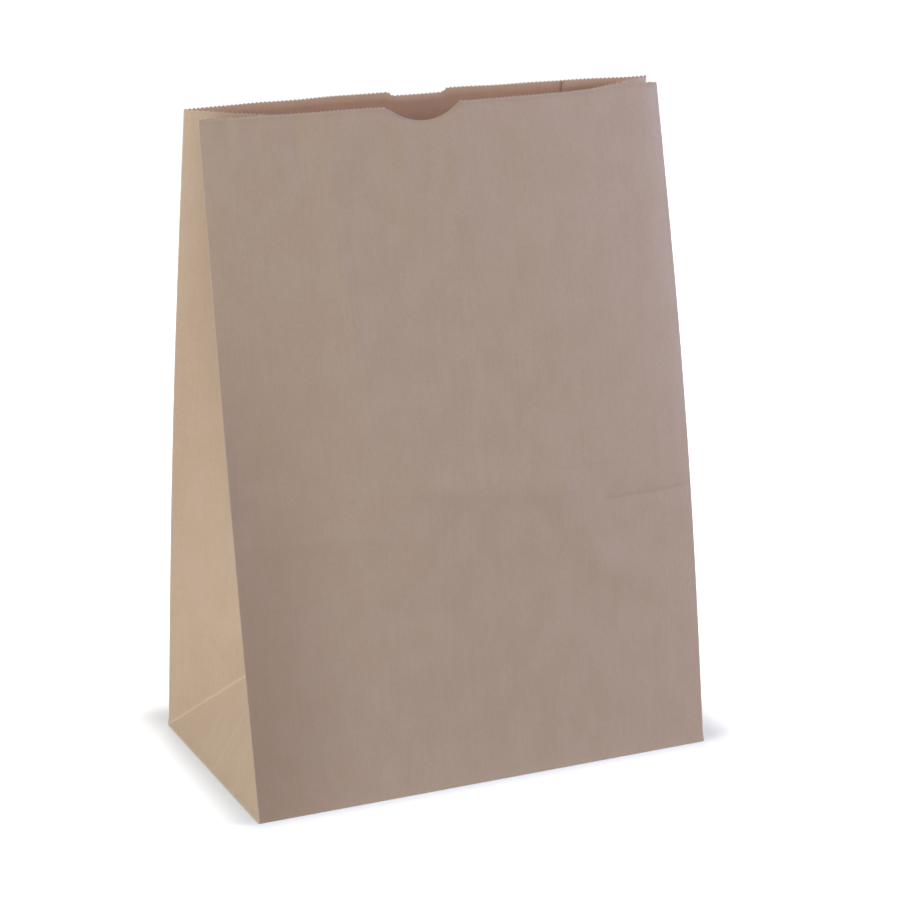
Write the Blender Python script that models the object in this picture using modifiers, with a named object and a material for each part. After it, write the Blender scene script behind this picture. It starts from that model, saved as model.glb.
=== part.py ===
"""Brown kraft paper sack with a block bottom, standing open by a finger's width.

One sheet is lapped into a tube, its two sides are folded in as gussets, and the end of the tube is
folded flat and glued as the base. The sack is therefore one solid: a wall one paper thick, with two
papers at the lap of the tube and at the flaps of the base.

Units are metres. +X runs along the wide panels, -Y is the front, +Z is up. The origin is the middle
of the base, on the surface that the sack stands on.
"""

import math

import bmesh
import bpy
from mathutils import Vector

# The sheet and the tube, measured on the paper
PANEL_WIDTH = 0.305
SIDE_DEPTH = 0.167
PANEL_HEIGHT = 0.422
PAPER = 0.00013

# The mouth at its left and right ends: how far its folds stand apart, and how far behind the middle
MOUTH_GAP_LEFT = 0.025
MOUTH_GAP_RIGHT = 0.013
MOUTH_BACK_LEFT = 0.0065
MOUTH_BACK_RIGHT = 0.0055

# How far the stiff paper bows out: the panels at the mouth, and the upright folds at mid height
FRONT_BOW = 0.004
BACK_BOW = 0.008
FRONT_LEFT_FOLD_BOW = -0.003
FRONT_RIGHT_FOLD_BOW = 0.008
BACK_FOLD_BOW = 0.006

# How far the springy gusset paper curls off the panels near the mouth, as a share of the gap there
GUSSET_CURL = 0.2

# The cut top edge: its teeth, the thumb notch in front and the shallow relief behind it
TOOTH_PITCH = 0.0027
TOOTH_DEPTH = 0.001
NOTCH_WIDTH = 0.048
NOTCH_DEPTH = 0.010
NOTCH_OFF_CENTRE = -0.011
RELIEF_WIDTH = 0.039
RELIEF_DEPTH = 0.0025
RELIEF_SLOPE = 0.003

# The glued lap of the tube, on the back panel
LAP_FROM_FOLD = 0.040
LAP_WIDTH = 0.016
LAP_RAMP = 0.003
LAP_STEP = 0.0002

# The flaps of the base: how far each passes the middle line, and how far it keeps inside the folds
FLAP_LAP = 0.013
FLAP_INSET = 0.00015

# The crease that the folded base leaves across the back panel
BACK_CREASE_DEPTH = 0.003
BACK_CREASE_REACH = 0.035

# Mesh density
PANEL_COLUMNS = 12
GUSSET_COLUMNS = 4
ROWS_ABOVE_APEX = 8
RIM_BAND = 0.016
NOTCH_POINTS = 20

# Folds sharper than this are shaded as creases
SHARP_FOLD_DEG = 12

# Points on the paper nearer than this are one point
SAME_POINT = 1e-6

KRAFT = (0.42, 0.30, 0.21, 1.0)
KRAFT_ROUGHNESS = 0.75

LEFT, RIGHT = -1, 1
FRONT, BACK = -1, 1
HALF_DEPTH = SIDE_DEPTH / 2
HALF_WIDTH = PANEL_WIDTH / 2
BASE_LEVEL = 2 * PAPER
MOUTH_GAP = {LEFT: MOUTH_GAP_LEFT, RIGHT: MOUTH_GAP_RIGHT}
MOUTH_BACK = {LEFT: MOUTH_BACK_LEFT, RIGHT: MOUTH_BACK_RIGHT}
FOLD_BOW = {
    (LEFT, FRONT): FRONT_LEFT_FOLD_BOW,
    (RIGHT, FRONT): FRONT_RIGHT_FOLD_BOW,
    (LEFT, BACK): BACK_FOLD_BOW,
    (RIGHT, BACK): BACK_FOLD_BOW,
}


def clear_scene():
    for obj in list(bpy.data.objects):
        bpy.data.objects.remove(obj, do_unlink=True)


def base_corner(end, face):
    return Vector((end * HALF_WIDTH, face * HALF_DEPTH, BASE_LEVEL))


def mouth_corner(end, face):
    """Top of an upright fold: as far from its base corner as the paper is long."""
    y = MOUTH_BACK[end] + face * MOUTH_GAP[end] / 2
    lean = HALF_DEPTH - face * y
    rise = math.sqrt(PANEL_HEIGHT**2 - lean**2)
    return Vector((end * HALF_WIDTH, y, BASE_LEVEL + rise))


def upright_fold(end, face, up):
    """Point of an upright fold at a height measured on the paper."""
    share = up / PANEL_HEIGHT
    point = base_corner(end, face).lerp(mouth_corner(end, face), share)
    point.y += face * FOLD_BOW[end, face] * math.sin(math.pi * share)
    return point


def gusset_apex(end):
    """Where a side's diagonal creases meet, half the depth up its lower triangle.

    With the wide panels leaning in by t, a flat triangle with 45 degree sides leans in by a, where
    cos a = (1 - sin t) / cos t.
    """
    rise = mouth_corner(end, FRONT).z - BASE_LEVEL
    lean = math.atan2((SIDE_DEPTH - MOUTH_GAP[end]) / 2, rise)
    cosine = (1 - math.sin(lean)) / math.cos(lean)
    inward = HALF_DEPTH * math.sqrt(1 - cosine**2)
    return Vector((end * (HALF_WIDTH - inward), 0, BASE_LEVEL + HALF_DEPTH * cosine))


def tucked_middle(end, up):
    """Where two gusset halves meet if each is as wide as its paper, level with the folds."""
    front = upright_fold(end, FRONT, up)
    back = upright_fold(end, BACK, up)
    tuck = math.sqrt(HALF_DEPTH**2 - (back - front).length_squared / 4)
    return (front + back) / 2 + Vector((-end * tuck, 0, 0))


def crease_rise(end):
    """How far a side's centre crease climbs from its apex to the mouth: its paper leans inward."""
    run = tucked_middle(end, PANEL_HEIGHT) - gusset_apex(end)
    length = PANEL_HEIGHT - HALF_DEPTH
    return math.sqrt(length**2 - run.x**2 - run.y**2)


def centre_crease(end, up):
    """Point of a side's centre crease above the apex. It starts at the apex and climbs evenly."""
    share = (up - HALF_DEPTH) / (PANEL_HEIGHT - HALF_DEPTH)
    apex = gusset_apex(end)
    point = tucked_middle(end, up)
    point += (apex - tucked_middle(end, HALF_DEPTH)) * (1 - share) ** 2
    point.z = apex.z + crease_rise(end) * share
    return point


def curl(end, from_fold, up):
    """How far a gusset half bulges into the groove: most a third of the way in, and at the mouth."""
    inward = from_fold / HALF_DEPTH
    above_apex = (up - HALF_DEPTH) / (PANEL_HEIGHT - HALF_DEPTH)
    bulge = inward * (1 - inward) ** 2
    most = 4 / 27
    return GUSSET_CURL * MOUTH_GAP[end] * bulge / most * above_apex**2


def side_point(end, across, up):
    """Point of a side panel, measured from its front fold and from the base on the paper.

    Each row runs straight from an upright fold to the centre crease or, lower down, to a diagonal
    crease. Under the diagonals lies the flat lower triangle.
    """
    face = FRONT if across <= HALF_DEPTH else BACK
    from_fold = min(across, SIDE_DEPTH - across)
    apex = gusset_apex(end)
    corner = base_corner(end, face)
    if up >= HALF_DEPTH:
        crease = centre_crease(end, up)
        point = upright_fold(end, face, up).lerp(crease, from_fold / HALF_DEPTH)
        point.y -= face * curl(end, from_fold, up)
        return point
    if from_fold < up:
        crease = corner.lerp(apex, up / HALF_DEPTH)
        return upright_fold(end, face, up).lerp(crease, from_fold / up)
    base = Vector((end * HALF_WIDTH, across - HALF_DEPTH, BASE_LEVEL))
    slope = apex - Vector((end * HALF_WIDTH, 0, BASE_LEVEL))
    return base + slope * (up / HALF_DEPTH)


def lap_offset(along):
    """How far the lap lifts the outer face of the back panel: a step at the cut, then a ramp down."""
    cut = LAP_FROM_FOLD
    end = LAP_FROM_FOLD + LAP_WIDTH + LAP_STEP
    if along <= cut:
        return 0
    if along <= cut + LAP_STEP:
        return PAPER * (along - cut) / LAP_STEP
    if along <= end:
        return PAPER
    return PAPER * max(0, 1 - (along - end) / LAP_RAMP)


def lap_layers(along):
    """Papers in the wall at a distance along the back panel."""
    inside = LAP_FROM_FOLD + LAP_STEP <= along <= LAP_FROM_FOLD + LAP_WIDTH
    return 2 if inside else 1


def panel_point(face, from_left, up):
    """Point of a wide panel, measured from its left fold and from the base on the paper."""
    share = from_left / PANEL_WIDTH
    point = upright_fold(LEFT, face, up).lerp(upright_fold(RIGHT, face, up), share)
    bow = FRONT_BOW if face == FRONT else BACK_BOW
    point.y += face * bow * 4 * share * (1 - share) * (up / PANEL_HEIGHT) ** 2
    if face == BACK:
        off_crease = min(1, abs(up - HALF_DEPTH) / BACK_CREASE_REACH)
        point.y -= BACK_CREASE_DEPTH * (1 - off_crease) * math.sin(math.pi * share)
        point.y += lap_offset(PANEL_WIDTH - from_left)
    return point


def tooth_drop(along, length):
    """Depth of the zigzag cut below the top, a valley at both ends of a panel."""
    teeth = max(1, round(length / TOOTH_PITCH))
    phase = along / length * teeth % 1
    return TOOTH_DEPTH * abs(1 - 2 * phase)


def notch_drop(off_centre):
    """Depth of the thumb notch, an arc of a circle."""
    half = NOTCH_WIDTH / 2
    if abs(off_centre) >= half:
        return 0
    radius = (half**2 + NOTCH_DEPTH**2) / (2 * NOTCH_DEPTH)
    return math.sqrt(radius**2 - off_centre**2) - (radius - NOTCH_DEPTH)


def relief_drop(off_centre):
    """Depth of the shallow relief, flat with sloping ends."""
    inside = RELIEF_WIDTH / 2 - abs(off_centre)
    return RELIEF_DEPTH * max(0, min(1, inside / RELIEF_SLOPE))


def spread(start, end, count):
    return [start + (end - start) * i / count for i in range(count + 1)]


def teeth_points(length):
    return spread(0, length, 2 * max(1, round(length / TOOTH_PITCH)))


def merged(points):
    """The sorted points with those that coincide made one."""
    kept = []
    for value in sorted(points):
        if not kept or value - kept[-1] > SAME_POINT:
            kept.append(value)
    return kept


class Strip:
    """One panel of the tube: its columns, the points of its top edge and what places them."""

    def __init__(self, columns, tops, place, cut, layers=None):
        self.columns = columns
        self.tops = merged(tops + columns)
        self.place = place
        self.cut = cut
        self.layers = layers or (lambda along: 1)


def front_strip():
    half = NOTCH_WIDTH / 2
    middle = PANEL_WIDTH / 2 + NOTCH_OFF_CENTRE
    tops = [u for u in teeth_points(PANEL_WIDTH) if abs(u - middle) > half]
    tops += spread(middle - half, middle + half, NOTCH_POINTS)

    def cut(along):
        if abs(along - middle) < half:
            return PANEL_HEIGHT - notch_drop(along - middle)
        return PANEL_HEIGHT - tooth_drop(along, PANEL_WIDTH)

    columns = spread(0, PANEL_WIDTH, PANEL_COLUMNS)
    return Strip(columns, tops, lambda along, up: panel_point(FRONT, along, up), cut)


def back_strip():
    """The back panel, whose distances run from its right fold, where the tube's lap is near."""
    middle = PANEL_WIDTH / 2
    lap_end = LAP_FROM_FOLD + LAP_WIDTH
    seam = [
        LAP_FROM_FOLD,
        LAP_FROM_FOLD + LAP_STEP,
        lap_end,
        lap_end + LAP_STEP,
        lap_end + LAP_STEP + LAP_RAMP,
    ]
    clear = LAP_RAMP
    even = spread(0, PANEL_WIDTH, PANEL_COLUMNS)
    columns = [u for u in even if not seam[0] - clear < u < seam[-1] + clear]
    near_relief = [
        middle + side * (RELIEF_WIDTH / 2 - inset)
        for side in (-1, 1)
        for inset in (0, RELIEF_SLOPE)
    ]

    def cut(along):
        drop = tooth_drop(along, PANEL_WIDTH) + relief_drop(along - middle)
        return PANEL_HEIGHT - drop

    def place(along, up):
        return panel_point(BACK, PANEL_WIDTH - along, up)

    tops = teeth_points(PANEL_WIDTH) + near_relief
    return Strip(sorted(columns + seam), tops, place, cut, lap_layers)


def side_strip(end):
    """A side panel, run so that the tube's panels follow each other anticlockwise from above."""
    columns = spread(0, SIDE_DEPTH, 2 * GUSSET_COLUMNS)
    tops = teeth_points(HALF_DEPTH)
    tops += [SIDE_DEPTH - u for u in tops]

    def from_front(along):
        return along if end == RIGHT else SIDE_DEPTH - along

    def place(along, up):
        return side_point(end, from_front(along), up)

    def cut(along):
        return PANEL_HEIGHT - tooth_drop(min(along, SIDE_DEPTH - along), HALF_DEPTH)

    return Strip(columns, tops, place, cut)


def wall_rows():
    lower = spread(0, HALF_DEPTH, GUSSET_COLUMNS)
    upper = spread(HALF_DEPTH, PANEL_HEIGHT - RIM_BAND, ROWS_ABOVE_APEX)
    return lower + upper[1:]


def add_wall(bm, strip, first_column, last_column, layer):
    """Rows of triangles up one panel, split along its diagonal creases. Returns its columns."""
    rows = wall_rows()

    def vertex(along, up):
        made = bm.verts.new(strip.place(along, up))
        made[layer][0] = strip.layers(along) / 2
        return made

    grid = [first_column]
    for along in strip.columns[1:-1]:
        grid.append([vertex(along, up) for up in rows])
    grid.append(last_column or [vertex(strip.columns[-1], up) for up in rows])
    for i in range(len(grid) - 1):
        left, right = grid[i], grid[i + 1]
        rising = strip.columns[i] < strip.columns[-1] / 2
        for j in range(len(rows) - 1):
            if rising:
                bm.faces.new((left[j], right[j + 1], left[j + 1]))
                bm.faces.new((left[j], right[j], right[j + 1]))
            else:
                bm.faces.new((left[j], right[j], left[j + 1]))
                bm.faces.new((right[j], right[j + 1], left[j + 1]))
    return grid


def add_rim(bm, strip, grid, first_top, last_top, layer):
    """Fans of triangles from the top row to the zigzag cut. Returns the vertices of the cut."""

    def vertex(along):
        made = bm.verts.new(strip.place(along, strip.cut(along)))
        made[layer][0] = strip.layers(along) / 2
        return made

    tops = [first_top or vertex(strip.tops[0])]
    tops += [vertex(along) for along in strip.tops[1:-1]]
    tops.append(last_top or vertex(strip.tops[-1]))
    for i in range(len(grid) - 1):
        low = strip.columns[i] - SAME_POINT
        high = strip.columns[i + 1] + SAME_POINT
        inside = [k for k, along in enumerate(strip.tops) if low <= along <= high]
        turn = len(inside) // 2
        left, right = grid[i][-1], grid[i + 1][-1]
        for a, b in zip(inside[:turn], inside[1 : turn + 1]):
            bm.faces.new((left, tops[b], tops[a]))
        bm.faces.new((left, right, tops[inside[turn]]))
        for a, b in zip(inside[turn:], inside[turn + 1 :]):
            bm.faces.new((right, tops[b], tops[a]))
    return tops


def sack_surface():
    """The outer face of the tube and of its floor, open at the mouth."""
    bm = bmesh.new()
    layer = bm.verts.layers.deform.verify()
    strips = [front_strip(), side_strip(RIGHT), back_strip(), side_strip(LEFT)]
    rows = wall_rows()
    first_column = []
    for up in rows:
        made = bm.verts.new(strips[0].place(0, up))
        made[layer][0] = 0.5
        first_column.append(made)
    column, top, first_top = first_column, None, None
    outline = []
    for number, strip in enumerate(strips):
        closing = number == len(strips) - 1
        grid = add_wall(bm, strip, column, first_column if closing else None, layer)
        tops = add_rim(bm, strip, grid, top, first_top if closing else None, layer)
        first_top = first_top or tops[0]
        column, top = grid[-1], tops[-1]
        outline += [line[0] for line in grid[:-1]]
    bm.faces.new(reversed(outline))
    mesh = bpy.data.meshes.new("paper_bag")
    bm.to_mesh(mesh)
    bm.free()
    return mesh


def kraft_material():
    material = bpy.data.materials.new("brown_kraft_paper")
    material.use_nodes = True
    shader = material.node_tree.nodes["Principled BSDF"]
    shader.inputs["Base Color"].default_value = KRAFT
    shader.inputs["Roughness"].default_value = KRAFT_ROUGHNESS
    shader.inputs["Metallic"].default_value = 0.0
    return material


def flap_outline(face):
    """A base flap from below: its long side on the fold, 45 degree ends and a toothed cut edge."""
    depth = HALF_DEPTH + FLAP_LAP
    inset = FLAP_INSET
    long_half = HALF_WIDTH - 2 * inset
    cut_half = HALF_WIDTH - depth - inset
    fold_y = face * (HALF_DEPTH - inset)
    cut_y = -face * FLAP_LAP
    points = [(-long_half, fold_y), (long_half, fold_y)]
    length = 2 * cut_half
    for along in reversed(teeth_points(length)):
        points.append((along - cut_half, cut_y + face * tooth_drop(along, length)))
    return points


def flap_solid(name, face, low, high, collection):
    """A base flap as a flat outline given its thickness, from the level low to the level high."""
    curve = bpy.data.curves.new(name, "CURVE")
    curve.dimensions = "2D"
    curve.fill_mode = "BOTH"
    curve.extrude = (high - low) / 2
    points = flap_outline(face)
    spline = curve.splines.new("POLY")
    spline.points.add(len(points) - 1)
    for made, (x, y) in zip(spline.points, points):
        made.co = (x, y, 0, 1)
    spline.use_cyclic_u = True
    outline = bpy.data.objects.new(name + "_outline", curve)
    outline.location.z = (low + high) / 2
    collection.objects.link(outline)
    bpy.context.view_layer.update()
    graph = bpy.context.evaluated_depsgraph_get()
    mesh = bpy.data.meshes.new_from_object(outline.evaluated_get(graph))
    bm = bmesh.new()
    bm.from_mesh(mesh)
    bmesh.ops.remove_doubles(bm, verts=bm.verts, dist=SAME_POINT)
    bmesh.ops.recalc_face_normals(bm, faces=bm.faces)
    bm.to_mesh(mesh)
    bm.free()
    flap = bpy.data.objects.new(name, mesh)
    flap.matrix_world = outline.matrix_world.copy()
    flap.hide_render = True
    flap.display_type = "WIRE"
    collection.objects.link(flap)
    bpy.data.objects.remove(outline, do_unlink=True)
    return flap


def add_collection(name):
    collection = bpy.data.collections.new(name)
    bpy.context.scene.collection.children.link(collection)
    return collection


def main():
    clear_scene()
    parts = add_collection("kraft_paper_bag")
    helpers = add_collection("cutters")
    bag = bpy.data.objects.new("paper_bag", sack_surface())
    parts.objects.link(bag)
    bag.vertex_groups.new(name="layers")
    bag.data.materials.append(kraft_material())

    wall = bag.modifiers.new("paper", "SOLIDIFY")
    wall.thickness = 2 * PAPER
    wall.offset = -1
    wall.use_even_offset = True
    wall.use_rim = True
    wall.vertex_group = "layers"

    front = flap_solid("front_flap", FRONT, 0, BASE_LEVEL + PAPER / 2, helpers)
    back = flap_solid("back_flap", BACK, PAPER, BASE_LEVEL + PAPER / 2, helpers)
    for flap in (front, back):
        glue = bag.modifiers.new("glued_" + flap.name, "BOOLEAN")
        glue.operation = "UNION"
        glue.solver = "EXACT"
        glue.object = flap
    bag.data.shade_smooth()
    bag.data.set_sharp_from_angle(angle=math.radians(SHARP_FOLD_DEG))


main()
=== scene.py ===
"""Brown kraft paper bag with a block bottom, standing open by a finger's width.

One sheet makes the tube with its glued lap, and its lower end is folded flat as the base. Each piece
is a surface worked out from paper coordinates: u runs around the tube and v up it from the fold of
the base, both measured on the flat sheet. Units are metres.
"""

import math

import bpy
import numpy as np
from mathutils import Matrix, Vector


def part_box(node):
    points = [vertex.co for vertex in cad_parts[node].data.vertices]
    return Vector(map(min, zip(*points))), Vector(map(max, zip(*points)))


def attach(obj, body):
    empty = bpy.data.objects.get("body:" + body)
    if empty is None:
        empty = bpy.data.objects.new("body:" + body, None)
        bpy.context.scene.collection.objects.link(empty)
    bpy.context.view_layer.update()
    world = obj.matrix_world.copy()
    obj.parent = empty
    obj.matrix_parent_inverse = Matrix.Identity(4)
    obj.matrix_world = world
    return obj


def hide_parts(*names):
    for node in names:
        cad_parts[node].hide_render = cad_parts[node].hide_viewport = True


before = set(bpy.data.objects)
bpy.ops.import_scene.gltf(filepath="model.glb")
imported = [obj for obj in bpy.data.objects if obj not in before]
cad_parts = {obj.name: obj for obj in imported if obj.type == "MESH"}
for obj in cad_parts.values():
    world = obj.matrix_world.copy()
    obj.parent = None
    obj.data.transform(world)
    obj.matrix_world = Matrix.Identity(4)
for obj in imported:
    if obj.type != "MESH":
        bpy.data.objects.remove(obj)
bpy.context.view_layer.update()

NODE = "paper_bag"
LEFT, RIGHT = -1, 1
FRONT, BACK = -1, 1

# The sheet's own sizes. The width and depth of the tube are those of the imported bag.
PAPER = 0.00013
BASE_LEVEL = 2 * PAPER
PANEL_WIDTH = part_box(NODE)[1].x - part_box(NODE)[0].x
SIDE_DEPTH = -2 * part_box(NODE)[0].y
HALF_WIDTH = PANEL_WIDTH / 2
HALF_DEPTH = SIDE_DEPTH / 2

# The mouth at its left and right ends: how far its folds stand apart, and how far behind the middle
MOUTH_GAP = {LEFT: 0.025, RIGHT: 0.013}
MOUTH_BACK = {LEFT: 0.0065, RIGHT: 0.0055}

# The paper's height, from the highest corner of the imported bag, which is the back left one
PANEL_HEIGHT = math.hypot(
    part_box(NODE)[1].z - BASE_LEVEL, HALF_DEPTH - MOUTH_BACK[LEFT] - MOUTH_GAP[LEFT] / 2
)

# How far the upright folds bow out at mid height, and the panels between them at the mouth
FOLD_BOW = {
    (LEFT, FRONT): -0.003,
    (RIGHT, FRONT): 0.008,
    (LEFT, BACK): 0.006,
    (RIGHT, BACK): 0.006,
}
PANEL_BOW = {FRONT: 0.004, BACK: 0.008}

# How far each gusset half bulges into the groove at the mouth, as a share of the gap there, and
# the power by which its rows drop towards the centre crease
GUSSET_CURL = {FRONT: 0.08, BACK: 0.46}
GUSSET_DROP = 1.7

# The crease that the folded base leaves across the back panel
BACK_CREASE_DEPTH = 0.003
BACK_CREASE_REACH = 0.035

# The cut top edge
TOOTH_PITCH = 0.0027
TOOTH_DEPTH = 0.001
NOTCH_WIDTH = 0.048
NOTCH_DEPTH = 0.0102
NOTCH_MIDDLE = PANEL_WIDTH / 2 - 0.011
NOTCH_COLUMNS = 24
NOTCH_EASE = 0.0015
RELIEF_WIDTH = 0.039
RELIEF_DEPTH = 0.0025
RELIEF_SLOPE = 0.003

# The front's cut rises a little before the right fold, and its worn corner drops
WANDER_RISE = 0.0018
WANDER_FROM_FOLD = 0.023
WANDER_REACH = 0.024
CORNER_WEAR = 0.005

# The front curls back towards its right fold, from the mouth down
MARGIN_CURL = 0.0040
MARGIN_REACH = 0.014
MARGIN_FOOT = 0.10
MARGIN_FULL = 0.20

# The front hollows in beside its left fold: how deep, its reach from the fold, and its heights
HOLLOW_IN = 0.0026
HOLLOW_REACH = 0.020
HOLLOW_FOOT = 0.03
HOLLOW_FULL = 0.17
HOLLOW_FADE = 0.17

# The front's knee, where the base lay folded against it: how far out, how high up and how round
KNEE_OUT = 0.0035
KNEE_AT = 0.185
KNEE_ROUND = 0.008

# The glued lap of the tube, on the back panel
LAP_FROM_FOLD = 0.040
LAP_WIDTH = 0.016
LAP_RAMP = 0.004
LAP_LIFT = PAPER + 0.00004

# The base: how far its outer flaps pass the middle line, how much of a full triangle's depth the blunt
# inner ones have, and how far the tube's foot turns in over them
FLAP_LAP = 0.013
SIDE_FLAP_TIP = 0.97
FOOT = 0.003

# Rows of an outer flap, and rows and columns of an inner one
FLAP_ROWS = 9
SIDE_FLAP_GRID = (12, 21)

# Distance that stands for no crease or cut near by
FAR = 1.0

# Half the round of a pressed fold, and the slight flare just above the fold of the base
FOLD_ROUND = 0.0004
FLARE = 0.0008
FLARE_RISE = 0.007

SHEET_START = LAP_FROM_FOLD - PANEL_WIDTH - SIDE_DEPTH
SHEET_END = PANEL_WIDTH + SIDE_DEPTH + LAP_FROM_FOLD + LAP_WIDTH

# Where the upright folds and the centre creases of the sides lie along the sheet
UPRIGHT_LINES = (
    -SIDE_DEPTH,
    -HALF_DEPTH,
    0,
    PANEL_WIDTH,
    PANEL_WIDTH + HALF_DEPTH,
    PANEL_WIDTH + SIDE_DEPTH,
)

# Rows above the apex: where each stretch ends, how far apart its rows stand, and how many rows then
# follow the cut
ROW_STRETCHES = ((0.150, 0.0038), (0.205, 0.0025), (0.395, 0.0050), (0.405, 0.0034))
ROWS_ALONG_CUT = 3

# How much further off the opened-out part of a centre crease counts as
FAINT_CREASE = 0.0003

# The marks of handling fade out this near a fold, and the slow waves of the paper this near a fold and
# this near the base
MARK_CALM = 0.007
FOLD_CALM = 0.012
WAVE_FOOT = 0.04

# The waves near the mouth: height, length around the tube and phase of each, and how far down the
# mouth they reach
MOUTH_WAVES = ((0.00035, 0.071, 0.6), (0.00025, 0.043, 2.0))
MOUTH_WAVE_REACH = 0.11

# The long slanting wave: its height, its lengths around and up the tube, and where it ends
SLANT_WAVE = 0.0005
SLANT_WAVE_ACROSS = 0.19
SLANT_WAVE_UP = 0.31
SLANT_WAVE_TOP = 0.4


def fold_line(end, face, up):
    """An upright fold: the straight line from base corner to mouth corner, bowed as half a sine."""
    share = up / PANEL_HEIGHT
    base_y = face * HALF_DEPTH
    mouth_y = MOUTH_BACK[end] + face * MOUTH_GAP[end] / 2
    rise = math.sqrt(PANEL_HEIGHT**2 - (mouth_y - base_y) ** 2)
    bow = face * FOLD_BOW[end, face] * np.sin(np.pi * share)
    y = base_y + (mouth_y - base_y) * share + bow
    return np.stack([np.full_like(up, end * HALF_WIDTH), y, BASE_LEVEL + rise * share], -1)


def gusset_apex(end):
    """Where a side's diagonal creases meet: the tip of its flat lower triangle.

    With the panels leaning in by t, a triangle with 45 degree sides leans in by a, where
    cos a = (1 - sin t) / cos t.
    """
    run = (SIDE_DEPTH - MOUTH_GAP[end]) / 2
    lean = math.asin(run / PANEL_HEIGHT)
    cosine = (1 - math.sin(lean)) / math.cos(lean)
    inward = HALF_DEPTH * math.sqrt(1 - cosine**2)
    return np.array([end * (HALF_WIDTH - inward), 0, BASE_LEVEL + HALF_DEPTH * cosine])


def tucked_middle(end, up):
    """Where two gusset halves meet: as far in as half the side's width reaches across the gap."""
    front = fold_line(end, FRONT, up)
    back = fold_line(end, BACK, up)
    gap = np.sum((back - front) ** 2, -1)
    middle = (front + back) / 2
    middle[..., 0] -= end * np.sqrt(HALF_DEPTH**2 - gap / 4)
    return middle


def centre_crease(end, up):
    """The side's centre crease: tucked in, drawn to the apex at its foot, and climbing evenly."""
    length = PANEL_HEIGHT - HALF_DEPTH
    share = np.clip((up - HALF_DEPTH) / length, 0, None)
    apex = gusset_apex(end)
    foot, top = (tucked_middle(end, np.array(v)) for v in (HALF_DEPTH, PANEL_HEIGHT))
    run = top[:2] - apex[:2]
    line = tucked_middle(end, up) + (apex - foot) * ((1 - share) ** 2)[..., None]
    line[..., 2] = apex[2] + math.sqrt(length**2 - run @ run) * share
    return line


def blend(a, b, share):
    """Points on the straight lines from a to b, at a share of the way."""
    return a + (b - a) * share[..., None]


def eased(share):
    """A share clipped to 0..1 that starts and ends without a corner."""
    share = np.clip(share, 0, 1)
    return share * share * (3 - 2 * share)


def side_surface(end, across, up):
    """A gusset, with across measured from its front fold.

    Above the apex each row runs straight from an upright fold to the centre crease and bulges into
    the groove as s (1 - s)^2. Below it, rows run to the diagonal creases, and the flat lower
    triangle lies under those.
    """
    is_front = across <= HALF_DEPTH
    face = np.where(is_front, FRONT, BACK)
    from_fold = np.clip(np.minimum(across, SIDE_DEPTH - across), 0, HALF_DEPTH)
    fold = np.where(is_front[..., None], fold_line(end, FRONT, up), fold_line(end, BACK, up))
    apex = gusset_apex(end)
    base_y = np.clip(across, 0, SIDE_DEPTH) - HALF_DEPTH

    inward = from_fold / HALF_DEPTH
    height = np.clip((up - HALF_DEPTH) / (PANEL_HEIGHT - HALF_DEPTH), 0, None)
    most = 4 / 27  # the highest value of s (1 - s)^2
    curl = np.where(is_front, GUSSET_CURL[FRONT], GUSSET_CURL[BACK]) * MOUTH_GAP[end]
    crease = centre_crease(end, up)
    upper = blend(fold, crease, inward)
    upper[..., 2] = blend(fold, crease, inward**GUSSET_DROP)[..., 2]
    upper[..., 1] -= face * curl * inward * (1 - inward) ** 2 / most * height**2

    corner = np.stack([np.full_like(up, end * HALF_WIDTH), face * HALF_DEPTH, up * 0 + BASE_LEVEL], -1)
    diagonal = blend(corner, apex, up / HALF_DEPTH)
    lower = blend(fold, diagonal, from_fold / np.maximum(up, 1e-9))

    slope = (apex - [end * HALF_WIDTH, 0, BASE_LEVEL]) / HALF_DEPTH
    base = np.stack([np.full_like(up, end * HALF_WIDTH), base_y, up * 0 + BASE_LEVEL], -1)
    triangle = base + slope * up[..., None]

    under = np.where((from_fold < up)[..., None], lower, triangle)
    return np.where((up >= HALF_DEPTH)[..., None], upper, under)


def panel_surface(face, from_left, up):
    """A wide panel: straight rows between its folds, bowed out as a parabola, more towards the mouth.

    The back panel also has the shallow valley that the folded base pressed into it. The front has a
    knee higher up, a hollow beside its left fold and a curl towards its right one.
    """
    share = from_left / PANEL_WIDTH
    point = blend(fold_line(LEFT, face, up), fold_line(RIGHT, face, up), share)
    arch = 4 * share * (1 - share)
    out = PANEL_BOW[face] * arch * (up / PANEL_HEIGHT) ** 2
    if face == BACK:
        near = 1 - np.clip(np.abs(up - HALF_DEPTH) / BACK_CREASE_REACH, 0, 1)
        out = out - BACK_CREASE_DEPTH * near * arch
    else:
        shifts = (-KNEE_ROUND, 0, KNEE_ROUND)
        knee = sum(np.interp(up + s, (0, KNEE_AT, PANEL_HEIGHT), (0, 1, 0)) for s in shifts) / len(shifts)
        out = out + KNEE_OUT * knee * arch
        low = eased(up / HOLLOW_FOOT) * (1 - eased((up - HOLLOW_FULL) / HOLLOW_FADE))
        sunk = 1 - np.exp(-np.clip(from_left, 0, None) / HOLLOW_REACH)
        out = out - HOLLOW_IN * sunk * (1 - share) * low
        from_right = np.clip(PANEL_WIDTH - from_left, 0, None)
        grown = eased((up - MARGIN_FOOT) / (MARGIN_FULL - MARGIN_FOOT))
        out = out + MARGIN_CURL * (1 - np.exp(-from_right / MARGIN_REACH)) * share * grown
    point[..., 1] += face * out
    return point


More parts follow.
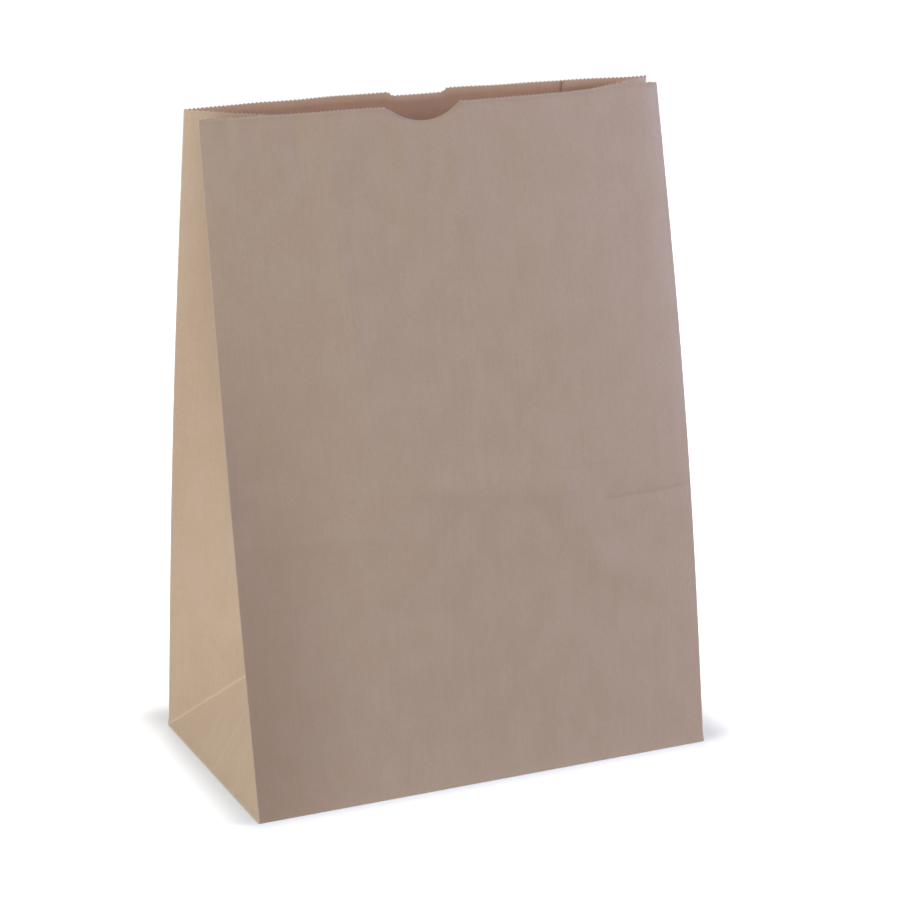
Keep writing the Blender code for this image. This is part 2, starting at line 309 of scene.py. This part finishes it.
def folded_sheet(u, v):
    """Where points of the flat sheet lie in the folded bag. Below v = 0 the sheet turns in as a foot."""
    up = np.maximum(v, 0)
    tube = PANEL_WIDTH + SIDE_DEPTH
    point = panel_surface(BACK, -u - SIDE_DEPTH, up)
    for start, surface in (
        (-SIDE_DEPTH, lambda: side_surface(LEFT, -u, up)),
        (0, lambda: panel_surface(FRONT, u, up)),
        (PANEL_WIDTH, lambda: side_surface(RIGHT, u - PANEL_WIDTH, up)),
        (tube, lambda: panel_surface(BACK, tube + PANEL_WIDTH - u, up)),
    ):
        point = np.where((u > start)[..., None], surface(), point)
    turned_in = np.minimum(v, 0)
    point[..., 0] *= 1 + turned_in / HALF_WIDTH
    point[..., 1] *= 1 + turned_in / HALF_DEPTH
    return point


def pressed_sheet(u, v, reach=FOLD_ROUND):
    """The folded sheet averaged over a small reach each way, which rounds every fold a little."""
    shifts = ((reach, 0), (-reach, 0), (0, reach), (0, -reach))
    return sum(folded_sheet(u + du, v + dv) for du, dv in shifts) / len(shifts)


def outward(u, v, step=0.0008):
    """Unit normals of the pressed sheet, from its slopes along u and v."""
    along = pressed_sheet(u + step, v) - pressed_sheet(u - step, v)
    up = pressed_sheet(u, v + step) - pressed_sheet(u, v - step)
    normal = np.cross(along, up)
    return normal / np.linalg.norm(normal, axis=-1, keepdims=True)


def from_segment(u, v, start, end):
    """Distance from points of the sheet to a straight line drawn on it."""
    du, dv = end[0] - start[0], end[1] - start[1]
    share = np.clip(((u - start[0]) * du + (v - start[1]) * dv) / (du * du + dv * dv), 0, 1)
    return np.hypot(u - start[0] - share * du, v - start[1] - share * dv)


# Ridges and dents of handling and of the flat-packed base, on the front panel in millimetres:
# start, end, height (negative for a dent) and half width
SOFT_MARKS = (
    ((78, 387), (84, 320), 0.6, 5),
    ((84, 320), (90, 229), 0.7, 6),
    ((24, 424), (24, 396), 0.7, 3.5),
    ((61, 424), (61, 388), -0.7, 4),
    ((126, 410), (128, 350), 0.6, 6),
    ((157, 400), (166, 337), 0.6, 6),
    ((2, 232), (16, 232), -0.8, 5),
    ((2, 207), (20, 206), -1.1, 7),
    ((2, 187), (16, 188), -0.8, 5),
    ((98, 110), (138, 111), -0.7, 7),
    ((0, 163), (90, 162), 0.8, 6),
    ((108, 189), (214, 181), 1.4, 10),
    ((214, 181), (238, 129), 1.1, 14),
    ((238, 129), (305, 93), 1.4, 14),
    ((244, 169), (305, 171), -0.6, 4),
)


def handling(u, v):
    """Height of the marks on the front: each falls off across its line as a Gaussian."""
    height = np.zeros_like(u)
    for start, end, rise, width in SOFT_MARKS:
        distance = from_segment(u * 1000, v * 1000, start, end)
        height += rise / 1000 * np.exp(-((distance / width) ** 2))
    return height * eased(np.minimum(u, PANEL_WIDTH - u) / MARK_CALM)


def loose_waves(u, v):
    """Slow waves of the unsupported paper.

    Sines around the tube die away below the mouth, and one long sine runs slantwise over the sheet,
    strongest at half of its own height.
    """
    near_mouth = np.exp(-(PANEL_HEIGHT - v) / MOUTH_WAVE_REACH)
    wave = sum(height * np.sin(2 * np.pi * u / length + phase) for height, length, phase in MOUTH_WAVES)
    slant = np.sin(2 * np.pi * (u / SLANT_WAVE_ACROSS + v / SLANT_WAVE_UP))
    strength = SLANT_WAVE * np.sin(np.pi * np.clip(v / SLANT_WAVE_TOP, 0, 1))
    return wave * near_mouth + strength * slant


def to_fold(u):
    """Distance from the nearest upright fold or centre crease."""
    return np.min([np.abs(u - line) for line in UPRIGHT_LINES], 0)


def lap_lift(u):
    """How far the outer end of the sheet stands off over the inner one: level, then ramping down."""
    over = u - SHEET_START
    return LAP_LIFT * np.clip(1 - (over - LAP_WIDTH) / LAP_RAMP, 0, 1)


def bag_surface(u, v):
    """The finished outer face: the pressed sheet lifted along its normals by all its small relief."""
    calm = eased(to_fold(u) / FOLD_CALM)
    footing = np.clip(v / WAVE_FOOT, 0, 1)
    flare = FLARE * np.clip(1 - np.maximum(v, 0) / FLARE_RISE, 0, 1) ** 2
    height = loose_waves(u, v) * calm * footing + handling(u, v) + flare * (v >= 0) + lap_lift(u)
    point = pressed_sheet(u, v) + outward(u, v) * height[..., None]
    point[..., 2] = np.maximum(point[..., 2], PAPER)
    return point


def notch_cut(u):
    """Depth of the thumb notch: an arc of a circle, whose left shoulder is worn round."""
    half = NOTCH_WIDTH / 2
    radius = (half**2 + NOTCH_DEPTH**2) / (2 * NOTCH_DEPTH)
    off = np.minimum(np.abs(u - NOTCH_MIDDLE), radius)
    arc = np.sqrt(radius**2 - off**2) - (radius - NOTCH_DEPTH)
    worn = (arc + np.sqrt(arc**2 + NOTCH_EASE**2)) / 2
    on_left = (u > 0) & (u < NOTCH_MIDDLE)
    return np.where(on_left, worn, np.maximum(arc, 0))


def relief_cut(u):
    """Depth of the shallow relief in the back panel's edge: flat, with sloping ends."""
    tube = PANEL_WIDTH + SIDE_DEPTH
    off = np.abs(u + tube - PANEL_WIDTH / 2)
    return RELIEF_DEPTH * np.clip((RELIEF_WIDTH / 2 - off) / RELIEF_SLOPE, 0, 1)


def wander(u):
    """How far the front's cut rises towards the right fold, short of its worn corner."""
    from_right = np.clip(PANEL_WIDTH - u, 0, None)
    rise = np.exp(-(((from_right - WANDER_FROM_FOLD) / WANDER_REACH) ** 2))
    return WANDER_RISE * rise * (1 - np.exp(-from_right / CORNER_WEAR)) * (u > 0)


def even(start, end, pitch):
    """Points from start to end, the first left out, about one pitch apart."""
    return np.linspace(start, end, max(1, round(abs(end - start) / pitch)) + 1)[1:]


def teeth():
    """The valleys of the zigzag cut and the peaks between them, none in the thumb notch.

    Each stretch from fold to fold, or to the notch or the lap, holds a whole number of teeth.
    """
    half = NOTCH_WIDTH / 2
    before = (SHEET_START, SHEET_START + LAP_WIDTH, -SIDE_DEPTH, -HALF_DEPTH, 0, NOTCH_MIDDLE - half)
    tube = PANEL_WIDTH + SIDE_DEPTH
    after = (NOTCH_MIDDLE + half, PANEL_WIDTH, PANEL_WIDTH + HALF_DEPTH, tube, SHEET_END)
    valleys, peaks = [], []
    for stops in (before, after):
        line = np.array([stops[0]])
        for start, end in zip(stops, stops[1:]):
            line = np.append(line, even(start, end, TOOTH_PITCH))
        valleys.append(line)
        peaks.append((line[1:] + line[:-1]) / 2)
    return np.concatenate(valleys), np.concatenate(peaks)


def cut_height(u, valleys, peaks):
    """Height of the cut top edge: zigzag, thumb notch, shallow relief and worn corner."""
    at = np.concatenate([valleys, peaks])
    order = np.argsort(at)
    depth = np.concatenate([np.full(len(valleys), TOOTH_DEPTH), np.zeros(len(peaks))])
    zigzag = np.interp(u, at[order], depth[order])
    in_notch = np.abs(u - NOTCH_MIDDLE) < NOTCH_WIDTH / 2
    smooth = notch_cut(u)
    cut = np.where(in_notch, smooth, zigzag + smooth)
    return PANEL_HEIGHT - cut - relief_cut(u) + wander(u)


def sheet_columns(valleys):
    """Columns of the grid: each valley of the cut, even steps in the notch, and close ones at each fold.

    One more stands close to each end of the sheet, which keeps its cut edge crisp.
    """
    half = NOTCH_WIDTH / 2
    notch = np.linspace(NOTCH_MIDDLE - half, NOTCH_MIDDLE + half, NOTCH_COLUMNS + 1)
    near = np.array([-2, -1, 1, 2]) * FOLD_ROUND
    by_folds = (np.array(UPRIGHT_LINES)[:, None] + near).ravel()
    by_ends = [SHEET_START + FOLD_ROUND, SHEET_END - FOLD_ROUND]
    return np.unique(np.concatenate([valleys, notch, by_folds, by_ends]).round(7))


def sheet_rows():
    """Heights of the rows on the paper. Below the apex they match the columns, for the diagonals."""
    count = round(HALF_DEPTH / TOOTH_PITCH)
    near = np.array([-1, 1]) * FOLD_ROUND
    rows = [np.array([-FOOT]), near, 2 * near[1:], np.linspace(0, HALF_DEPTH, count + 1), HALF_DEPTH + near]
    reached = HALF_DEPTH
    for end, pitch in ROW_STRETCHES:
        rows.append(even(reached, end, pitch))
        reached = end
    return np.unique(np.concatenate(rows).round(7))


def new_mesh(name, points, faces, uv, attributes=None):
    """A mesh object from whole arrays. uv gives each point its place on the flat sheet, in metres."""
    mesh = bpy.data.meshes.new(name)
    mesh.from_pydata(points.reshape(-1, 3).tolist(), [], faces)
    layer = mesh.uv_layers.new(name="sheet")
    corners = np.empty(len(mesh.loops), np.int32)
    mesh.loops.foreach_get("vertex_index", corners)
    layer.data.foreach_set("uv", uv[corners].astype(np.float32).ravel())
    for key, values in (attributes or {}).items():
        made = mesh.attributes.new(key, "FLOAT", "POINT")
        made.data.foreach_set("value", values.astype(np.float32).ravel())
    mesh.shade_smooth()
    piece = bpy.data.objects.new(name, mesh)
    bpy.context.scene.collection.objects.link(piece)
    return piece


def to_crease(u, v):
    """Distance on the paper to the nearest pressed crease: folds, diagonals and the base's own.

    The centre crease of a side also runs down its flat lower triangle, as a fainter line.
    """
    across = np.where(u < 0, -u, u - PANEL_WIDTH)
    on_side = ((u > -SIDE_DEPTH) & (u < 0)) | ((u > PANEL_WIDTH) & (u < PANEL_WIDTH + SIDE_DEPTH))
    up = np.maximum(v, 0)
    diagonal = np.minimum(np.abs(across - up), np.abs(SIDE_DEPTH - across - up)) / math.sqrt(2)
    diagonal = np.where(on_side & (up <= HALF_DEPTH), diagonal, np.inf)
    on_middle = on_side & (np.abs(across - HALF_DEPTH) < HALF_DEPTH / 2) & (up < HALF_DEPTH)
    upright = to_fold(u) + np.where(on_middle, FAINT_CREASE, 0)
    on_back = (u <= -SIDE_DEPTH) | (u >= PANEL_WIDTH + SIDE_DEPTH)
    valley = np.where(on_back, np.abs(v - HALF_DEPTH), np.inf)
    return np.min([diagonal, upright, valley, np.abs(v)], 0)


def paper_tube():
    """The wall of the bag: one grid over the sheet, whose top row of teeth is a triangle each."""
    valleys, peaks = teeth()
    columns, rows = sheet_columns(valleys), sheet_rows()
    top = cut_height(columns, valleys, peaks)
    shares = np.linspace(0, 1, ROWS_ALONG_CUT + 1)[1:]
    level = np.repeat(rows[:, None], len(columns), 1)
    v = np.concatenate([level, rows[-1] + (top - rows[-1]) * shares[:, None]])
    u = np.repeat(columns[None], len(v), 0)
    grid = np.arange(u.size).reshape(u.shape)

    # Quads are split the way that the diagonal creases run through them
    middle = (columns[1:] + columns[:-1]) / 2
    across = np.where(middle < 0, -middle, middle - PANEL_WIDTH)
    falls = np.broadcast_to((across > HALF_DEPTH) == (middle > 0), (len(v) - 1, len(middle)))
    low_left, low_right = grid[:-1, :-1], grid[:-1, 1:]
    high_left, high_right = grid[1:, :-1], grid[1:, 1:]
    rising = np.stack([low_left, low_right, high_right, low_left, high_right, high_left], -1)
    falling = np.stack([low_left, low_right, high_left, low_right, high_right, high_left], -1)
    faces = np.where(falls[..., None], falling, rising).reshape(-1, 3)

    cell = np.searchsorted(columns, peaks) - 1
    tips = u.size + np.arange(len(peaks))
    faces = np.concatenate([faces, np.stack([grid[-1, cell], grid[-1, cell + 1], tips], -1)])
    all_u = np.concatenate([u.ravel(), peaks])
    all_v = np.concatenate([v.ravel(), cut_height(peaks, valleys, peaks)])
    below_cut = np.concatenate([(top - v).ravel(), np.zeros(len(peaks))])
    return new_mesh(
        "paper_tube",
        bag_surface(all_u, all_v),
        faces.tolist(),
        np.stack([all_u, all_v], -1),
        {"to_crease": to_crease(all_u, all_v), "to_cut": below_cut},
    )


def base_flap(name, face, level):
    """An outer flap of the base: a trapezoid from its fold to the toothed cut past the middle.

    Its half width shrinks by as much as its depth grows, which gives 45 degree ends.
    """
    depth = HALF_DEPTH + FLAP_LAP
    cut = 2 * (HALF_WIDTH - depth)
    count = 2 * round(cut / TOOTH_PITCH)
    share = np.linspace(-1, 1, count + 1)[None]
    steps = np.linspace(0, 1, FLAP_ROWS)[:, None]
    tooth = TOOTH_DEPTH * (np.arange(count + 1) % 2 == 0) * (steps == 1)
    inward = steps * depth - tooth + 0 * share
    x = share * (HALF_WIDTH - FOLD_ROUND - steps * depth)
    y = face * (HALF_DEPTH - FOLD_ROUND - inward)
    points = np.stack([x, y, np.full_like(x, level)], -1)
    uv = np.stack([x + HALF_WIDTH, -inward], -1).reshape(-1, 2)
    grid = np.arange(x.size).reshape(x.shape)
    quads = np.stack([grid[:-1, :-1], grid[1:, :-1], grid[1:, 1:], grid[:-1, 1:]], -1).reshape(-1, 4)
    if face == BACK:
        quads = quads[:, ::-1]
    distances = {"to_crease": np.full(x.size, FAR), "to_cut": depth - inward.ravel()}
    return new_mesh(name, points, quads.tolist(), uv, distances)


def side_flap(name, end, level):
    """An inner flap of the base: a triangle with 45 degree folds and a blunt tip on the middle line."""
    rows, columns = SIDE_FLAP_GRID
    steps = np.linspace(0, SIDE_FLAP_TIP, rows)[:, None]
    share = np.linspace(-1, 1, columns)[None]
    y = share * (HALF_DEPTH - FOLD_ROUND) * (1 - steps)
    x = end * (HALF_WIDTH - FOLD_ROUND - steps * HALF_DEPTH) + 0 * share
    points = np.stack([x, y, np.full_like(x, level)], -1)
    uv = np.stack([y + HALF_DEPTH, 0 * y - steps * HALF_DEPTH], -1).reshape(-1, 2)
    grid = np.arange(x.size).reshape(x.shape)
    quads = np.stack([grid[:-1, :-1], grid[:-1, 1:], grid[1:, 1:], grid[1:, :-1]], -1).reshape(-1, 4)
    if end == LEFT:
        quads = quads[:, ::-1]
    distances = {key: np.full(x.size, FAR) for key in ("to_crease", "to_cut")}
    return new_mesh(name, points, quads.tolist(), uv, distances)


def give_thickness(piece):
    """One paper thick, added on the inner side, which takes the piece's second material."""
    wall = piece.modifiers.new("paper", "SOLIDIFY")
    wall.thickness = PAPER
    wall.offset = -1
    wall.use_even_offset = False
    wall.use_rim = True
    wall.material_offset = 1


def linear(colour):
    """An sRGB hex colour as linear red, green and blue with full alpha."""
    parts = [int(colour[i : i + 2], 16) / 255 for i in (1, 3, 5)]
    return [p / 12.92 if p <= 0.04045 else ((p + 0.055) / 1.055) ** 2.4 for p in parts] + [1.0]


# Settings that several shader nodes share
SOFT = {"interpolation_type": "SMOOTHSTEP"}
COLOURS = {"data_type": "RGBA"}
TIMES = {"operation": "MULTIPLY"}
TIMES_PLUS = {"operation": "MULTIPLY_ADD"}
MINUS = {"operation": "SUBTRACT"}


def add_node(tree, kind, settings=None, output=0, **links):
    """Adds a shader node and returns one of its outputs, by number or name.

    Settings are the node's own properties. Links are values or sockets for its inputs, by name with
    underscores for spaces, or by number after an underscore.
    """
    node = tree.nodes.new("ShaderNode" + kind)
    for key, value in (settings or {}).items():
        setattr(node, key, value)
    for key, value in links.items():
        name = int(key[1:]) if key[0] == "_" else key.replace("_", " ")
        if isinstance(value, bpy.types.NodeSocket):
            tree.links.new(value, node.inputs[name])
        else:
            node.inputs[name].default_value = value
    return node.outputs[output]


# The two sides of the sheet: the tones of its clouds. The drying cylinder glazes the outer one, and
# the unglazed wire side within is browner.
KRAFT_TONES = {
    "machine_glazed_kraft": ("#C4A88D", "#C6AB91"),
    "kraft_wire_side": ("#D2AA89", "#D4AD8D"),
}

# The paper's formation: size of each part across and along the machine's run in millimetres, detail
# and roughness. Fibres are drawn some ten times as wide as real ones, which would be too fine to show.
FORMATION = {
    "clouds": (17, 26, 3.0, 0.5),
    "flock": (2.3, 4, 2.0, 0.5),
    "streaks": (1.6, 45, 2.0, 0.5),
    "fibres": (0.38, 2.3, 2.0, 0.6),
    "cross_fibres": (1.25, 0.5, 2.0, 0.6),
}

# The values that a noise mostly keeps between
NOISE_SPREAD = {"From_Min": 0.3, "From_Max": 0.7}

# What tints the clouds: tone, the values it grows between, and how strongly it shows
FORMATION_TINTS = {
    "flock": ("#B4987D", 0.45, 0.75, 0.12),
    "streaks": ("#B99F86", 0.45, 0.75, 0.14),
    "fibres": ("#D9C5AF", 0.58, 0.78, 0.35),
    "cross_fibres": ("#957758", 0.60, 0.80, 0.40),
}

# The relief: how much each part adds to it, the height in metres of a full step, and its strength
FORMATION_RELIEF = {"fibres": 0.35, "flock": 0.5}
RELIEF_STEP = 0.0002
RELIEF_STRENGTH = 0.35

# Paler paper along creases and cuts, where the fibres are broken. Along creases the paler tone is
# also a painted highlight of the rounded fold: tone, the distances it fades between, and how
# strongly it shows
PALE_EDGE_AND_HIGHLIGHT_TINTS = {
    "to_crease": ("#E2D1BC", 0.0002, 0.0010, 0.28),
    "to_cut": ("#DECAB3", 0.0, 0.0008, 0.30),
}

# Painted shade darkens the front beside its left fold, most at the foot: tone, how strongly, how
# far from the fold, and the heights it grows between
SHADE_PAINT_TONE = "#8A6248"
SHADE_PAINT = 0.33
SHADE_PAINT_REACH = 0.09
SHADE_PAINT_TOP = 0.42
SHADE_PAINT_FULL = 0.08

# Thin lines pressed into the front while the bag lay folded, each a dent in the relief darkened
# with painted shade, in millimetres on the sheet: start, end, width, and how strongly each shows
PRESSED_LINES = (
    ((215, 192), (250, 192), 1.8, 0.20),
    ((246, 169), (304, 171), 2.4, 0.40),
    ((2, 165), (88, 161.5), 2.0, 0.12),
)
PRESSED_SHADE_TONE = "#8C7460"
PRESSED_SHADE = 0.35
PRESSED_DEPTH = 0.5

# The glaze: how it mirrors, the faint sheen of loose fibres, and its roughness along bright and dull
# streaks
GLAZE = {"Specular IOR Level": 0.35, "Sheen Weight": 0.05, "Sheen Roughness": 0.5}
STREAK_ROUGHNESS = (0.62, 0.72)

# Share of light that each side of the sheet passes on, and its tone, as lignin lets red through
PASSING = 0.14
PASSING_TONE = "#EE7A48"


def paper_formation(tree, sheet):
    """The noises of the paper's formation, laid out on the flat sheet."""
    formation = {}
    for part, (across, along, detail, roughness) in FORMATION.items():
        placed = add_node(tree, "Mapping", Vector=sheet, Scale=(1000 / across, 1000 / along, 1))
        settings = {"Scale": 1.0, "Detail": detail, "Roughness": roughness}
        noise = add_node(tree, "TexNoise", {"noise_dimensions": "2D"}, Vector=placed, **settings)
        formation[part] = noise
    return formation


def painted_front_shade(tree, sheet):
    """A mask of the painted shade on the front, which fades out away from the left fold and up the bag."""
    across = add_node(tree, "SeparateXYZ", None, "X", Vector=sheet)
    up = add_node(tree, "SeparateXYZ", None, "Y", Vector=sheet)
    beside = add_node(tree, "MapRange", SOFT, Value=across, From_Max=SHADE_PAINT_REACH, To_Min=SHADE_PAINT, To_Max=0.0)
    on_front = add_node(tree, "Math", {"operation": "GREATER_THAN"}, _0=across, _1=0.0)
    beside = add_node(tree, "Math", TIMES, _0=beside, _1=on_front)
    grown = add_node(tree, "MapRange", SOFT, Value=up, From_Min=SHADE_PAINT_TOP, From_Max=SHADE_PAINT_FULL)
    return add_node(tree, "Math", TIMES, _0=beside, _1=grown)


def pressed_line(tree, sheet, start, end, width):
    """A mask of 1 on a straight line of the sheet, which fades out over its width. In millimetres."""
    start, end = (Vector((*point, 0)) / 1000 for point in (start, end))
    run = end - start
    along = run / run.length_squared
    offset = add_node(tree, "VectorMath", MINUS, _0=sheet, _1=start)
    share = add_node(tree, "VectorMath", {"operation": "DOT_PRODUCT"}, "Value", _0=offset, _1=along)
    share = add_node(tree, "Clamp", Value=share)
    nearest = add_node(tree, "VectorMath", TIMES, _0=share, _1=run)
    gap = add_node(tree, "VectorMath", {"operation": "DISTANCE"}, "Value", _0=offset, _1=nearest)
    return add_node(tree, "MapRange", SOFT, Value=gap, From_Max=width / 1000, To_Min=1.0, To_Max=0.0)


def kraft_paper(name):
    """One side of natural brown kraft: long unbleached fibres in a faintly cloudy felt.

    The machine draws the fibres along its run, which is up the bag. Pressed folds and the cut edge
    break the glaze and scatter more light, so they look paler; along the creases the paler tone is
    also a painted highlight. Pressed lines and a band beside the front's left fold carry painted shade.
    """
    material = bpy.data.materials.new(name)
    material.use_nodes = True
    tree = material.node_tree
    shader = tree.nodes["Principled BSDF"]
    sheet = add_node(tree, "UVMap", {"uv_map": "sheet"})
    formation = paper_formation(tree, sheet)

    deep, pale = (linear(tone) for tone in KRAFT_TONES[name])
    shows = add_node(tree, "MapRange", SOFT, Value=formation["clouds"], **NOISE_SPREAD)
    colour = add_node(tree, "Mix", COLOURS, 2, _0=shows, _6=deep, _7=pale)
    for part, (tone, low, high, strength) in FORMATION_TINTS.items():
        limits = {"From_Min": low, "From_Max": high, "To_Max": strength}
        shows = add_node(tree, "MapRange", SOFT, Value=formation[part], **limits)
        colour = add_node(tree, "Mix", COLOURS, 2, _0=shows, _6=colour, _7=linear(tone))
    # Painted shade beside the front's left fold, darkest at the foot
    front_shade = painted_front_shade(tree, sheet)
    colour = add_node(tree, "Mix", COLOURS, 2, _0=front_shade, _6=colour, _7=linear(SHADE_PAINT_TONE))
    # Paler cut edges, and paler creases that also carry a painted highlight
    for distance, (tone, near, far, strength) in PALE_EDGE_AND_HIGHLIGHT_TINTS.items():
        gap = add_node(tree, "Attribute", {"attribute_name": distance}, "Fac")
        limits = {"From_Min": near, "From_Max": far, "To_Min": strength, "To_Max": 0.0}
        shows = add_node(tree, "MapRange", SOFT, Value=gap, **limits)
        colour = add_node(tree, "Mix", COLOURS, 2, _0=shows, _6=colour, _7=linear(tone))

    relief = 0.0
    for part, share in FORMATION_RELIEF.items():
        relief = add_node(tree, "Math", TIMES_PLUS, _0=formation[part], _1=share, _2=relief)
    # Each pressed line dents the relief, and its colour is darkened with painted shade
    for start, end, width, strength in PRESSED_LINES:
        line = pressed_line(tree, sheet, start, end, width)
        shows = add_node(tree, "Math", TIMES, _0=line, _1=PRESSED_SHADE * strength)
        colour = add_node(tree, "Mix", COLOURS, 2, _0=shows, _6=colour, _7=linear(PRESSED_SHADE_TONE))
        relief = add_node(tree, "Math", TIMES_PLUS, _0=line, _1=-PRESSED_DEPTH * strength, _2=relief)
    tree.links.new(colour, shader.inputs["Base Color"])

    bright, dull = STREAK_ROUGHNESS
    limits = {"To_Min": bright, "To_Max": dull, **NOISE_SPREAD}
    roughness = add_node(tree, "MapRange", SOFT, Value=formation["streaks"], **limits)
    tree.links.new(roughness, shader.inputs["Roughness"])
    for key, value in GLAZE.items():
        shader.inputs[key].default_value = value
    bump = add_node(tree, "Bump", Strength=RELIEF_STRENGTH, Distance=RELIEF_STEP, Height=relief)
    tree.links.new(bump, shader.inputs["Normal"])

    through = add_node(tree, "BsdfTranslucent", Color=linear(PASSING_TONE))
    wall = add_node(tree, "MixShader", _0=PASSING, _1=shader.outputs[0], _2=through)
    tree.links.new(wall, tree.nodes["Material Output"].inputs["Surface"])
    return material


def dress(pieces):
    """Gives each piece its thickness and paper, and puts it on the body in place of the plain node."""
    sides = [kraft_paper(name) for name in KRAFT_TONES]
    for piece in pieces:
        give_thickness(piece)
        for side in sides:
            piece.data.materials.append(side)
        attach(piece, "root")
        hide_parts(NODE)


# Camera: the view that the photographed corners of the bag fit
CAMERA_PLACE = (-0.697, -1.570, 0.735)
CAMERA_YAW = 24.28
CAMERA_PITCH = 17.54
LENS = 114.8
SENSOR = 36.0


def set_camera():
    """The photograph's view of the bag."""
    data = bpy.data.cameras.new("camera")
    data.lens = LENS
    data.sensor_width = SENSOR
    camera = bpy.data.objects.new("camera", data)
    camera.location = CAMERA_PLACE
    camera.rotation_euler = (math.radians(90 - CAMERA_PITCH), 0, math.radians(-CAMERA_YAW))
    bpy.context.scene.collection.objects.link(camera)
    bpy.context.scene.camera = camera


def add_softbox(name, place, aim, size, watts, colour):
    """A square area light at a place, turned towards the point it lights."""
    data = bpy.data.lights.new(name, "AREA")
    data.shape = "SQUARE"
    data.size = size
    data.energy = watts
    data.color = linear(colour)[:3]
    light = bpy.data.objects.new(name, data)
    light.location = place
    toward = Vector(aim) - Vector(place)
    light.rotation_euler = toward.to_track_quat("-Z", "Y").to_euler()
    bpy.context.scene.collection.objects.link(light)


# Light: the lamps, each with its place, size, watts and colour, and the even light around them
LAMPS = {
    "key_from_the_left": ((-1.75, -0.55, 0.95), 0.7, 34, "#EEFAFF"),
    "cool_from_the_right": ((1.3, -0.45, 0.75), 0.5, 22.5, "#D0DBFF"),
    "soft_from_behind": ((0.3, 1.5, 1.0), 0.9, 18, "#FFF0E2"),
}
AMBIENT = 0.02
AMBIENT_COLOUR = "#F4F7FF"

# The floor: its width, how far it lies below the paper, and its white
FLOOR_WIDTH = 60.0
FLOOR_DROP = 0.0001
FLOOR_WHITE = "#F6F0F0"

# The floor as the camera sees it: its colour, and its lift to white away from the foot of the bag,
# which leaves a painted shadow round the foot. The painted shadow reaches further to the right and
# the back, away from the key.
FLOOR_SEEN = "#9A9A9A"
SHADE_LIFT = 0.40
SHADE_REACH = 0.040
SHADE_AT = (0.006, 0.012, 0)


def light_studio():
    """The lamps and a faint even light. What the paper mirrors, and the camera's backdrop, is white."""
    for name, (place, size, watts, colour) in LAMPS.items():
        add_softbox(name, place, (0, 0, PANEL_HEIGHT / 2), size, watts, colour)
    world = bpy.data.worlds.new("studio")
    bpy.context.scene.world = world
    world.use_nodes = True
    tree = world.node_tree
    tree.nodes.clear()
    direct = add_node(tree, "LightPath", None, "Is Camera Ray")
    mirrored = add_node(tree, "LightPath", None, "Is Glossy Ray")
    seen = add_node(tree, "Math", {"operation": "MAXIMUM"}, _0=direct, _1=mirrored)
    ambient = add_node(tree, "Background", Color=linear(AMBIENT_COLOUR), Strength=AMBIENT)
    white = add_node(tree, "Background", Color=(1, 1, 1, 1), Strength=1.0)
    mixed = add_node(tree, "MixShader", _0=seen, _1=ambient, _2=white)
    output = tree.nodes.new("ShaderNodeOutputWorld")
    tree.links.new(mixed, output.inputs["Surface"])


def lay_floor():
    """A wide white floor. The camera sees it grey, as a painted shadow at the foot of the bag, and lifted
    to full white away from it.
    """
    half = FLOOR_WIDTH / 2
    corners = np.array([(x * half, y * half, -FLOOR_DROP) for x, y in ((-1, -1), (1, -1), (1, 1), (-1, 1))])
    floor = new_mesh("floor", corners, [(0, 1, 2, 3)], corners[:, :2])
    material = bpy.data.materials.new("white_studio_floor")
    material.use_nodes = True
    tree = material.node_tree
    shader = tree.nodes["Principled BSDF"]
    seen = add_node(tree, "LightPath", None, "Is Camera Ray")
    colour = add_node(tree, "Mix", COLOURS, 2, _0=seen, _6=linear(FLOOR_WHITE), _7=linear(FLOOR_SEEN))
    tree.links.new(colour, shader.inputs["Base Color"])
    shader.inputs["Roughness"].default_value = 0.9
    shader.inputs["Emission Color"].default_value = (1, 1, 1, 1)
    place = add_node(tree, "TexCoord", None, "Object")
    place = add_node(tree, "VectorMath", MINUS, _0=place, _1=SHADE_AT)
    aside = add_node(tree, "VectorMath", {"operation": "ABSOLUTE"}, _0=place)
    foot = (HALF_WIDTH, HALF_DEPTH, 0)
    beyond = add_node(tree, "VectorMath", MINUS, _0=aside, _1=foot)
    clear = add_node(tree, "VectorMath", {"operation": "MAXIMUM"}, _0=beyond, _1=(0, 0, 0))
    away = add_node(tree, "VectorMath", {"operation": "LENGTH"}, "Value", _0=clear)
    # Painted shadow: the emission lifts the floor to white only away from the foot of the bag
    lift = add_node(tree, "MapRange", SOFT, Value=away, From_Max=SHADE_REACH, To_Min=SHADE_LIFT)
    glow = add_node(tree, "Math", TIMES, _0=seen, _1=lift)
    tree.links.new(glow, shader.inputs["Emission Strength"])
    floor.data.materials.append(material)


set_camera()
light_studio()
lay_floor()
dress(
    [
        paper_tube(),
        base_flap("base_front_flap", FRONT, 0.0),
        base_flap("base_back_flap", BACK, PAPER),
        side_flap("base_left_flap", LEFT, BASE_LEVEL + PAPER),
        side_flap("base_right_flap", RIGHT, BASE_LEVEL + PAPER),
    ]
)
bpy.context.scene.view_settings.view_transform = "Standard"
